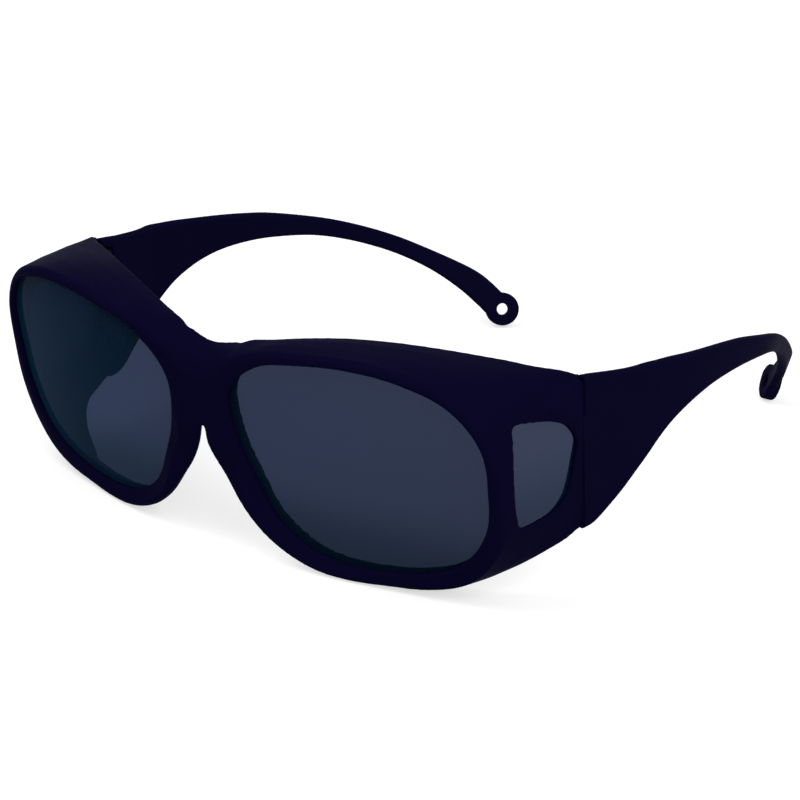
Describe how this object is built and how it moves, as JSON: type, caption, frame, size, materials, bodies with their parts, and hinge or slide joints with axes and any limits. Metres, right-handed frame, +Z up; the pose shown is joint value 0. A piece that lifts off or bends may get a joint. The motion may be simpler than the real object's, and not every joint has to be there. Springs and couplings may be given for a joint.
{
  "type": "over-glasses safety spectacles",
  "caption": "Wrap-around tinted safety spectacles worn over glasses, with a one-piece moulded front, side windows and folding temples that end in lanyard rings.",
  "frame": {"origin": "on the floor, under the middle of the object's box", "axes": "+Z up, -Y the way the wearer looks, +X the wearer's left"},
  "size_m": [0.1486, 0.1702, 0.0536],
  "materials": {
    "frame": "fine satin moulded plastic, near black with a navy cast",
    "temple": "fine satin moulded plastic, near black with a navy cast",
    "lens": "polished grey-blue tinted polycarbonate",
    "side_window": "polished grey-blue tinted polycarbonate",
    "hinge": "stamped nickel-plated steel",
    "screw": "turned steel"
  },
  "bodies": {
    "front": {"front_frame": "frame", "lens_left": "lens", "lens_right": "lens", "side_window_left": "side_window", "side_window_right": "side_window", "frame_hinge_left": "hinge", "frame_hinge_right": "hinge", "hinge_screw_left": "screw", "hinge_screw_right": "screw"},
    "left_temple": {"temple_left": "temple", "temple_hinge_left": "hinge"},
    "right_temple": {"temple_right": "temple", "temple_hinge_right": "hinge"}
  },
  "joints": [
    {"name": "left_temple_fold", "type": "hinge", "parent": "front", "child": "left_temple", "pos_m": [0.067, -0.0418, 0.0414], "axis": [0, 0, 1], "range_deg": [0, 80]},
    {"name": "right_temple_fold", "type": "hinge", "parent": "front", "child": "right_temple", "pos_m": [-0.067, -0.0418, 0.0414], "axis": [0, 0, -1], "range_deg": [0, 68]}
  ]
}
